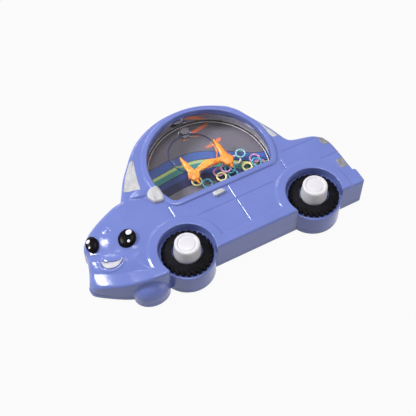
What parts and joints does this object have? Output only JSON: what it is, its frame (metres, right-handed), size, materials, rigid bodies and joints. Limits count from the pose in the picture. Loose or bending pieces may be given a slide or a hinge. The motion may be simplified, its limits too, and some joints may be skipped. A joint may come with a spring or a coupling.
{
  "type": "handheld water game",
  "caption": "Car-shaped handheld water game: press the wheel buttons to push water through a clear tank and float small rings on to pegs.",
  "frame": {"origin": "centre of the bounding box on the back face the toy lies on", "axes": "+Z out of the face, +X from the nose to the tail, +Y from the wheels to the roof"},
  "size_m": [0.1432, 0.0916, 0.0229],
  "materials": {
    "blue_plastic": "moulded, glossy",
    "clear_plastic": "clear moulded plastic, polished",
    "frosted_rubber": "soft, slightly frosted",
    "printed_card": "printed card behind the tank",
    "orange_plastic": "moulded",
    "white_plastic": "moulded, glossy",
    "black_rubber": "moulded, satin",
    "grey_rubber": "soft bellows rubber",
    "milky_plastic": "natural moulded plastic",
    "clear_hose": "soft clear vinyl tube",
    "black_gloss": "high gloss",
    "steel": "zinc plated self-tapping screws",
    "silver_paint": "silver sprayed paint on the shell's details",
    "white_paint": "white painted dots on the eyes",
    "air": "air bubble in the water",
    "ring_yellow": "moulded",
    "ring_pink": "moulded",
    "ring_teal": "moulded",
    "ring_white": "moulded",
    "ring_pale_teal": "moulded"
  },
  "bodies": {
    "body": {"front_shell": "blue_plastic", "back_cover": "blue_plastic", "tank_front": "clear_plastic", "tank_back": "clear_plastic", "filler_plug": "frosted_rubber", "picture_card": "printed_card", "peg_frame": "orange_plastic", "front_tyre": "black_rubber", "rear_tyre": "black_rubber", "front_bellows": "grey_rubber", "rear_bellows": "grey_rubber", "front_pump_base": "milky_plastic", "rear_pump_base": "milky_plastic", "front_hose": "clear_hose", "rear_hose": "clear_hose", "inner_eye": "black_gloss", "outer_eye": "black_gloss", "screws": "steel"},
    "front_button": {"front_button": "white_plastic"},
    "rear_button": {"rear_button": "white_plastic"},
    "ring_1": {"ring_1": "ring_yellow"},
    "ring_2": {"ring_2": "ring_pink"},
    "ring_3": {"ring_3": "ring_teal"},
    "ring_4": {"ring_4": "ring_yellow"},
    "ring_5": {"ring_5": "ring_pink"},
    "ring_6": {"ring_6": "ring_teal"},
    "ring_7": {"ring_7": "ring_yellow"},
    "ring_8": {"ring_8": "ring_teal"},
    "ring_9": {"ring_9": "ring_yellow"},
    "ring_10": {"ring_10": "ring_pink"},
    "ring_11": {"ring_11": "ring_pink"},
    "ring_12": {"ring_12": "ring_white"},
    "ring_13": {"ring_13": "ring_teal"},
    "ring_14": {"ring_14": "ring_pale_teal"}
  },
  "joints": [
    {"name": "front_button_press", "type": "slide", "parent": "body", "child": "front_button", "axis": [0, 0, -1], "range_m": [0, 0.0035], "stiffness_N_per_m": 450, "springref_m": -0.001, "deforming": ["front_bellows"]},
    {"name": "rear_button_press", "type": "slide", "parent": "body", "child": "rear_button", "axis": [0, 0, -1], "range_m": [0, 0.0035], "stiffness_N_per_m": 450, "springref_m": -0.001, "deforming": ["rear_bellows"]},
    {"name": "ring_1_drift", "type": "slide", "parent": "body", "child": "ring_1", "axis": [0, 1, 0], "range_m": [-0.004, 0.015]},
    {"name": "ring_2_drift", "type": "slide", "parent": "body", "child": "ring_2", "axis": [0, 1, 0], "range_m": [-0.004, 0.015]},
    {"name": "ring_3_drift", "type": "slide", "parent": "body", "child": "ring_3", "axis": [0, 1, 0], "range_m": [-0.004, 0.015]},
    {"name": "ring_4_drift", "type": "slide", "parent": "body", "child": "ring_4", "axis": [0, 1, 0], "range_m": [-0.004, 0.015]},
    {"name": "ring_5_drift", "type": "slide", "parent": "body", "child": "ring_5", "axis": [0, 1, 0], "range_m": [-0.003, 0.015]},
    {"name": "ring_6_drift", "type": "slide", "parent": "body", "child": "ring_6", "axis": [0, 1, 0], "range_m": [-0.004, 0.015]},
    {"name": "ring_7_drift", "type": "slide", "parent": "body", "child": "ring_7", "axis": [0, 1, 0], "range_m": [-0.004, 0.015]},
    {"name": "ring_8_drift", "type": "slide", "parent": "body", "child": "ring_8", "axis": [0, 1, 0], "range_m": [-0.004, 0.015]},
    {"name": "ring_9_drift", "type": "slide", "parent": "body", "child": "ring_9", "axis": [0, 1, 0], "range_m": [-0.004, 0.015]},
    {"name": "ring_10_drift", "type": "slide", "parent": "body", "child": "ring_10", "axis": [0, 1, 0], "range_m": [-0.004, 0.015]},
    {"name": "ring_11_drift", "type": "slide", "parent": "body", "child": "ring_11", "axis": [0, 1, 0], "range_m": [-0.004, 0.015]},
    {"name": "ring_12_drift", "type": "slide", "parent": "body", "child": "ring_12", "axis": [0, 1, 0], "range_m": [-0.004, 0.015]},
    {"name": "ring_13_drift", "type": "slide", "parent": "body", "child": "ring_13", "axis": [0, 1, 0], "range_m": [-0.004, 0.015]},
    {"name": "ring_14_drift", "type": "slide", "parent": "body", "child": "ring_14", "axis": [0, 1, 0], "range_m": [-0.004, 0.015]}
  ]
}
